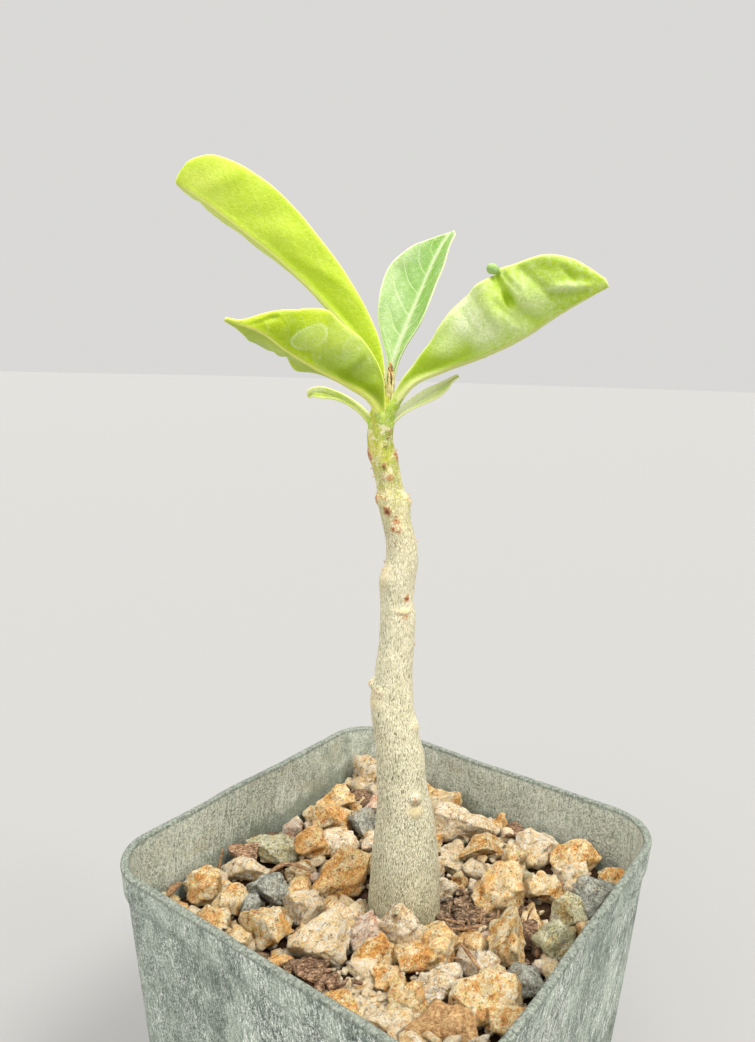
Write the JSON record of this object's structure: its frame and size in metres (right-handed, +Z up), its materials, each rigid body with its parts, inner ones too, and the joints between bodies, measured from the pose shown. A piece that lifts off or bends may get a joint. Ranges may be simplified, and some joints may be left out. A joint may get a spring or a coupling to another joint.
{
  "type": "potted plant",
  "caption": "Young desert rose with a thickened woody stem and a few folded leaves, in a square nursery pot topped with granite chips.",
  "frame": {"origin": "centre of the pot's underside, on the surface it stands on", "axes": "+Z up along the stem; X and Y square to the pot's four sides, with the plant's widest spread running between +X -Y and -X +Y"},
  "size_m": [0.089, 0.089, 0.2247],
  "materials": {
    "pot": "matte",
    "soil": "matte",
    "stone": "matte",
    "bark": "matte",
    "bud": "matte",
    "leaf": "satin",
    "leaf_waxy": "satin"
  },
  "bodies": {
    "root": {"pot": "pot", "potting_soil": "soil", "gravel": "stone", "stem": "bark", "bud": "bud", "leaf_upper_left": "leaf", "leaf_lower_left": "leaf", "leaf_centre": "leaf_waxy", "leaf_right": "leaf", "leaflet_left": "leaf_waxy", "leaflet_right": "leaf_waxy"}
  },
  "joints": []
}
